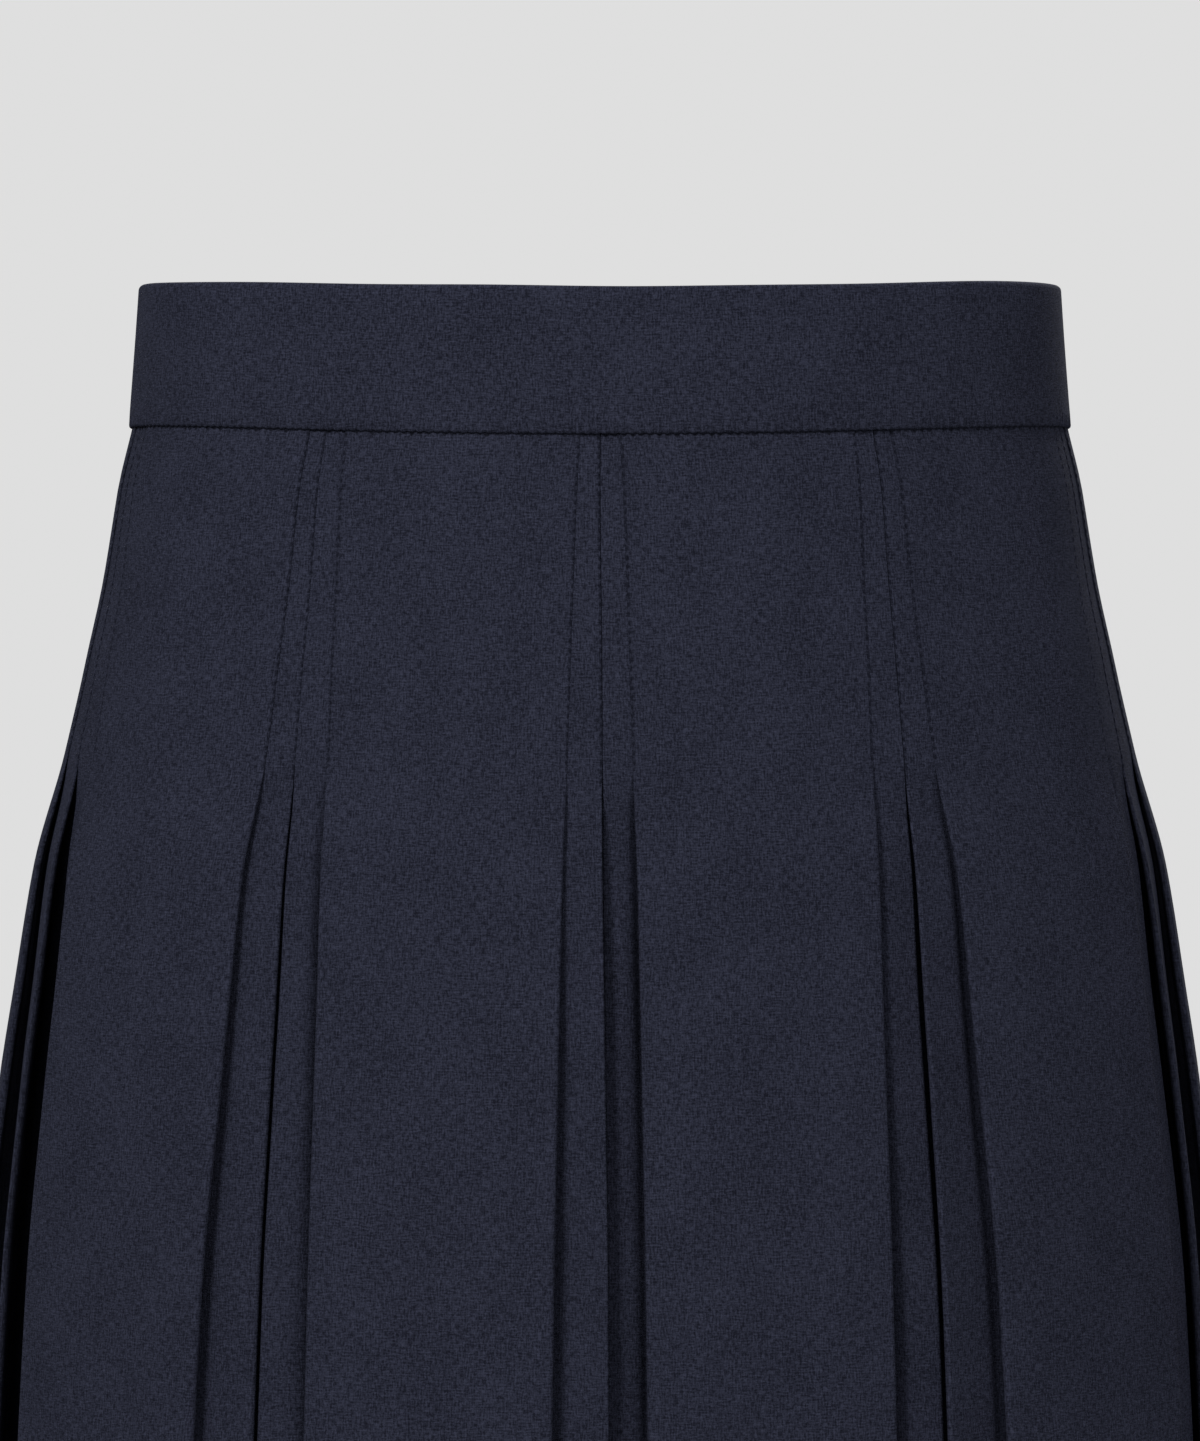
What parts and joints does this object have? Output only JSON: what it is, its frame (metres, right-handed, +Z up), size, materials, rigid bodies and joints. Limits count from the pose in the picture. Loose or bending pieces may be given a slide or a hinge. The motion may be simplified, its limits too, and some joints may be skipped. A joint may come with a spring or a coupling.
{
  "type": "pleated skirt",
  "caption": "Short skirt with a plain waistband and inverted box pleats, stitched down over the hips and open below, with a concealed back zip.",
  "frame": {"origin": "middle of the empty waist at half the height of the waistband", "axes": "-Y to the front of the skirt, +X to the right of someone facing that front, +Z up through the waist"},
  "size_m": [0.3682, 0.2725, 0.4553],
  "materials": {
    "band_cloth": "fine dark navy worsted wool, interfaced",
    "skirt_cloth": "fine dark navy worsted wool",
    "zip_tape": "woven navy tape",
    "zip_metal": "dark navy enamel, satin"
  },
  "bodies": {
    "garment": {"waistband": "band_cloth", "skirt_front": "skirt_cloth", "skirt_back_left": "skirt_cloth", "skirt_back_right": "skirt_cloth", "zip_tape": "zip_tape", "zip_slider": "zip_metal"},
    "pull": {"zip_pull": "zip_metal"}
  },
  "joints": [
    {"name": "pull_swing", "type": "hinge", "parent": "garment", "child": "pull", "pos_m": [0, 0.08405, 0.01], "axis": [1, 0, 0], "range_deg": [0, 170]}
  ]
}
